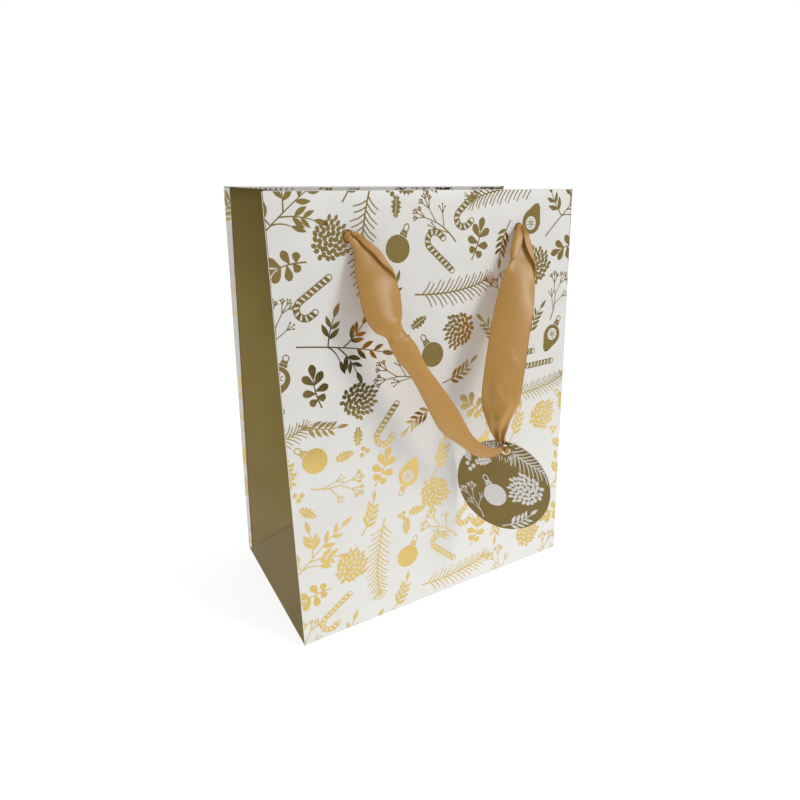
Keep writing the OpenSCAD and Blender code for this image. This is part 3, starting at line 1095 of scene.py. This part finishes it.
def ribbon_knot(name, x, side, node, body, material):
    """A tight overhand knot: two crossing wraps of gathered ribbon, its stub and its cut tail"""
    inside = 2 * PAPER + CARD
    parts = []
    for tilt, major, minor, lift in ((0.2, 3.3, 2.5, 2.9), (1.15, 2.9, 2.2, 3.6)):
        bpy.ops.object.select_all(action="DESELECT")
        bpy.ops.mesh.primitive_torus_add(
            major_radius=major * MM, minor_radius=minor * MM, major_segments=40, minor_segments=20
        )
        wrap = bpy.context.object
        for vert in wrap.data.vertices:
            around = math.atan2(vert.co.y, vert.co.x)
            ring = Vector((math.cos(around), math.sin(around), 0)) * major * MM
            off = vert.co - ring
            turn = math.atan2(off.z, off.to_2d().dot(ring.to_2d().normalized()))
            vert.co = ring + off * (1 + 0.1 * math.sin(7 * turn + 3 * around))
        wrap.data.transform(
            Matrix.Translation((0, 0, lift * MM)) @ Matrix.Rotation(tilt, 4, "Y")
            @ Matrix.Rotation(tilt, 4, "X") @ Matrix.Diagonal((1, 0.9, 1, 1))
        )
        parts.append(wrap)
    bpy.ops.object.select_all(action="DESELECT")
    bpy.ops.mesh.primitive_cylinder_add(
        vertices=36, radius=2.5 * MM, depth=inside + 3.6 * MM, location=(0, 0, 0.2 * MM - inside / 2)
    )
    stub = bpy.context.object
    bpy.ops.object.transform_apply(location=True)
    for vert in stub.data.vertices:
        around = math.atan2(vert.co.y, vert.co.x)
        vert.co.xy *= 0.92 + 0.08 * math.sin(9 * around)
    parts.append(stub)
    rows = []
    for i in range(9):
        drop = i / 8
        wide = (7 + 8 * min(1, drop * 1.6)) / 2
        rows.append([
            Vector((
                wide * s, -1.5 - 16.5 * drop,
                2.2 - 0.9 * drop + (1.3 * (1 - drop) + 0.25) * math.sin(s * 5.5 + drop * 1.2)
            )) * MM for s in (k / 10 - 1 for k in range(21))
        ])
    tail = sheet_mesh(name + "_tail", rows)
    thick(tail, 0.28 * MM)
    parts.append(tail)
    bpy.ops.object.select_all(action="DESELECT")
    for part in parts:
        part.select_set(True)
    bpy.context.view_layer.objects.active = parts[0]
    bpy.ops.object.join()
    made = bpy.context.object
    made.name = name
    centre = panel_point(x, HOLE_V, inside, side)
    inward = (panel_point(x, HOLE_V, inside + MM, side) - centre).normalized()
    up = (panel_point(x, HOLE_V + MM, inside, side) - centre).normalized()
    right = up.cross(inward)
    frame_at = Matrix((right, up, inward)).transposed().to_4x4()
    made.data.transform(Matrix.Translation(centre) @ frame_at)
    layer = made.data.uv_layers.get("weave") or made.data.uv_layers.new(name="weave")
    for loop in made.data.loops:
        co = made.data.vertices[loop.vertex_index].co - centre
        layer.data[loop.index].uv = (co.dot(right) + RIBBON_W / 2, co.dot(up))
    smooth(made, 60)
    return finish_piece(made, material, body, "satin_ribbon", node)


# ---- Tag ----

def tag_place(x, y, lift):
    """A place on the tag's front, from its centre"""
    centre = (tag_low + tag_high) / 2
    centre.z = (tag_low.z + tag_high.z) / 2
    return centre + tag_across * x + Vector((0, 0, y)) + tag_face * lift


def tag_disc(name, radius, thickness, lift, material, slot, *replaced):
    centre = tag_place(0, 0, lift)
    turn = Vector((0, 0, 1)).rotation_difference(tag_face).to_euler()
    bpy.ops.object.select_all(action="DESELECT")
    bpy.ops.mesh.primitive_cylinder_add(
        vertices=128, radius=radius, depth=thickness, location=centre, rotation=turn
    )
    made = bpy.context.object
    made.name = name
    bpy.ops.object.transform_apply(location=True, rotation=True, scale=True)
    bpy.ops.object.select_all(action="DESELECT")
    bpy.ops.mesh.primitive_cylinder_add(
        vertices=40, radius=HOLE_R, depth=5 * MM, location=tag_hole, rotation=turn
    )
    punch = bpy.context.object
    apply_modifier(made, "BOOLEAN", object=punch, operation="DIFFERENCE", solver="EXACT")
    bpy.data.objects.remove(punch)
    if not replaced:
        smooth(made)
        return finish_piece(made, material, "tag", slot)
    apply_modifier(made, "BEVEL", width=0.08 * MM, segments=2, limit_method="ANGLE")
    smooth(made)
    return finish_piece(made, material, "tag", slot, *replaced)


TAG_LAYOUT = [
    ("fir", 9, 20, 334, 1, 0.95), ("fir", -10, 24, 330, 1, 0.7),
    ("cone", 13.0, 0.8, 12, 1, 1.0), ("bauble", -3.6, -7.0, 125, 1, 1.0),
    ("berry", -15.5, -14.5, 112, 1, 0.72), ("sprig", 12.0, -17.5, 28, 1, 0.95),
    ("leafy", -22.0, 14.0, 300, 1, 0.9), ("leafy", -12.0, 12.0, 22, 1, 1.0),
    ("dots", -19.4, 7.0, 0, 1, 1.0),
]


def tag_motifs(material):
    made = foil_print(
        "tag_motifs", (-28 * MM, -28 * MM), (28 * MM, 28 * MM), (0, 0),
        lambda u, v, lift: tag_place(u, v, TAG_THICK / 2 + 2 * FOIL + lift), TAG_LAYOUT, 0
    )
    bm = bmesh.new()
    bm.from_mesh(made.data)
    at_hole = [
        face for face in bm.faces
        if (face.calc_center_median() - tag_hole).length < HOLE_R + 1.8 * MM
    ]
    bmesh.ops.delete(bm, geom=at_hole, context="FACES")
    bm.to_mesh(made.data)
    bm.free()
    rim = tag_r - 0.15 * MM
    use(made)
    bpy.ops.object.mode_set(mode="EDIT")
    for i in range(48):
        a = math.tau * i / 48
        way = tag_across * math.cos(a) + Vector((0, 0, math.sin(a)))
        bpy.ops.mesh.select_all(action="SELECT")
        bpy.ops.mesh.bisect(
            plane_co=tag_place(0, 0, 0) + way * rim, plane_no=way, clear_outer=True
        )
    bpy.ops.object.mode_set(mode="OBJECT")
    thick(made, FOIL, 1)
    return finish_piece(made, material, "tag", "printed_paper")


# ---- Build ----

def paint_node(name, material):
    node = bpy.data.objects[name]
    node.data.materials.clear()
    node.data.materials.append(material)


def build():
    paper = white_paper()
    gold = gold_paper("gold_side_paper", (0.215, 0.155, 0.04), (0.185, 0.13, 0.032), 0.42)
    foil = gold_foil()
    board = plain_card("base_card", (0.72, 0.71, 0.68), (0.45, 0.42, 0.36))
    liner = plain_card("stiffener_card", (0.82, 0.81, 0.78), (0.6, 0.56, 0.5))
    ribbon = satin()
    tag_card = gold_paper("gold_tag_card", (0.22, 0.16, 0.05), (0.19, 0.135, 0.04), 0.38, False)

    panel_paper(-1, "front_paper", ("front_panel", "front_hem"), "front_panel", paper)
    panel_paper(1, "back_paper", ("back_panel", "back_hem"), "back_panel", paper)
    foil_on_panel(-1, "front_foil", (0, 0), "front_panel", foil)
    foil_on_hem(-1, "front_hem_foil", (0, 0), "front_panel", foil)
    foil_on_panel(1, "back_foil", (62 * MM, 47 * MM), "back_panel", foil)
    foil_on_hem(1, "back_hem_foil", (62 * MM, 47 * MM), "back_panel", foil)

    for end, word in ((-1, "left"), (1, "right")):
        for side, part in ((-1, "front"), (1, "rear")):
            nodes = [f"{word}_gusset_{part}"] + ([f"{word}_gusset_hem"] if side < 0 else [])
            half = gusset_half(end, side, f"{word}_{part}_gusset_paper", nodes, gold)
            blend_gusset(half)
        gusset_foot(end, f"{word}_foot_paper", f"{word}_gusset_foot", gold)
    seam_strip(paper)
    seam_foil(foil)

    for name in ("bottom_outer_flap", "bottom_inner_flap"):
        paint_node(name, paper)
    for name in ("left_dust_flap", "right_dust_flap"):
        paint_node(name, gold)
    paint_node("base_board", board)
    for name in ("front_top_card", "back_top_card"):
        paint_node(name, liner)

    left_strand(ribbon)
    right_strand(ribbon)
    bight(ribbon)
    back_strand(ribbon)
    for side, word in ((-1, "front"), (1, "back")):
        for x, hand in ((-HOLE_X, "left"), (HOLE_X, "right")):
            ribbon_knot(
                f"{word}_{hand}_tied_knot", x if side < 0 else -x, side,
                f"{word}_{hand}_knot", f"{word}_panel", ribbon
            )
    tag_disc("tag_card_disc", tag_r, TAG_THICK, 0, liner, "tag_card", "gift_tag")
    tag_disc("tag_gold_face", tag_r - 0.1 * MM, FOIL, TAG_THICK / 2 + FOIL, tag_card, "tag_card")
    tag_motifs(paper)


def stage():
    """A bright table that ends a little in front of the bag, and a dim room beyond it"""
    bpy.ops.object.select_all(action="DESELECT")
    bpy.ops.mesh.primitive_plane_add(size=1)
    floor = bpy.context.object
    floor.name = "floor"
    floor.scale = (12.0, 8.41, 1)
    floor.location = (0, 3.795, 0)
    bpy.ops.object.transform_apply(location=True, rotation=True, scale=True)
    finish = Finish("pale_floor", (0.5, 0.5, 0.5), 0.8)
    finish.put(finish.shader, "Emission Color", (1, 1, 1, 1))
    finish.put(finish.shader, "Emission Strength", 0.79)
    floor.data.materials.append(finish.material)
    bpy.ops.object.select_all(action="DESELECT")
    bpy.ops.mesh.primitive_plane_add(
        size=1, location=(0.1, -0.40, 0.09), rotation=(math.pi / 2, 0, 0)
    )
    shade = bpy.context.object
    shade.name = "dark_card"
    shade.scale = (0.10, 0.10, 1)
    finish = Finish("dark_card", (0.01, 0.01, 0.01), 1.0)
    shade.data.materials.append(finish.material)
    for ray in ("camera", "diffuse", "transmission", "volume_scatter", "shadow"):
        setattr(shade, "visible_" + ray, False)

    world = bpy.data.worlds.new("studio")
    bpy.context.scene.world = world
    world.use_nodes = True
    tree = world.node_tree
    rays = tree.nodes.new("ShaderNodeLightPath")
    room = tree.nodes.new("ShaderNodeMix")
    room.inputs["A"].default_value = 0.46
    room.inputs["B"].default_value = 0.33
    tree.links.new(rays.outputs["Is Glossy Ray"], room.inputs["Factor"])
    seen = tree.nodes.new("ShaderNodeMix")
    seen.inputs["B"].default_value = 1.0
    tree.links.new(rays.outputs["Is Camera Ray"], seen.inputs["Factor"])
    tree.links.new(room.outputs["Result"], seen.inputs["A"])
    back = tree.nodes["Background"]
    back.inputs["Color"].default_value = (1, 1, 1, 1)
    tree.links.new(seen.outputs["Result"], back.inputs["Strength"])
    area_light("key", (0.55, -0.75, 0.75), (0, 0, 0.12), (0.35, 0.35), 4.6)
    bpy.context.scene.view_settings.view_transform = "Standard"


build()
camera()
stage()
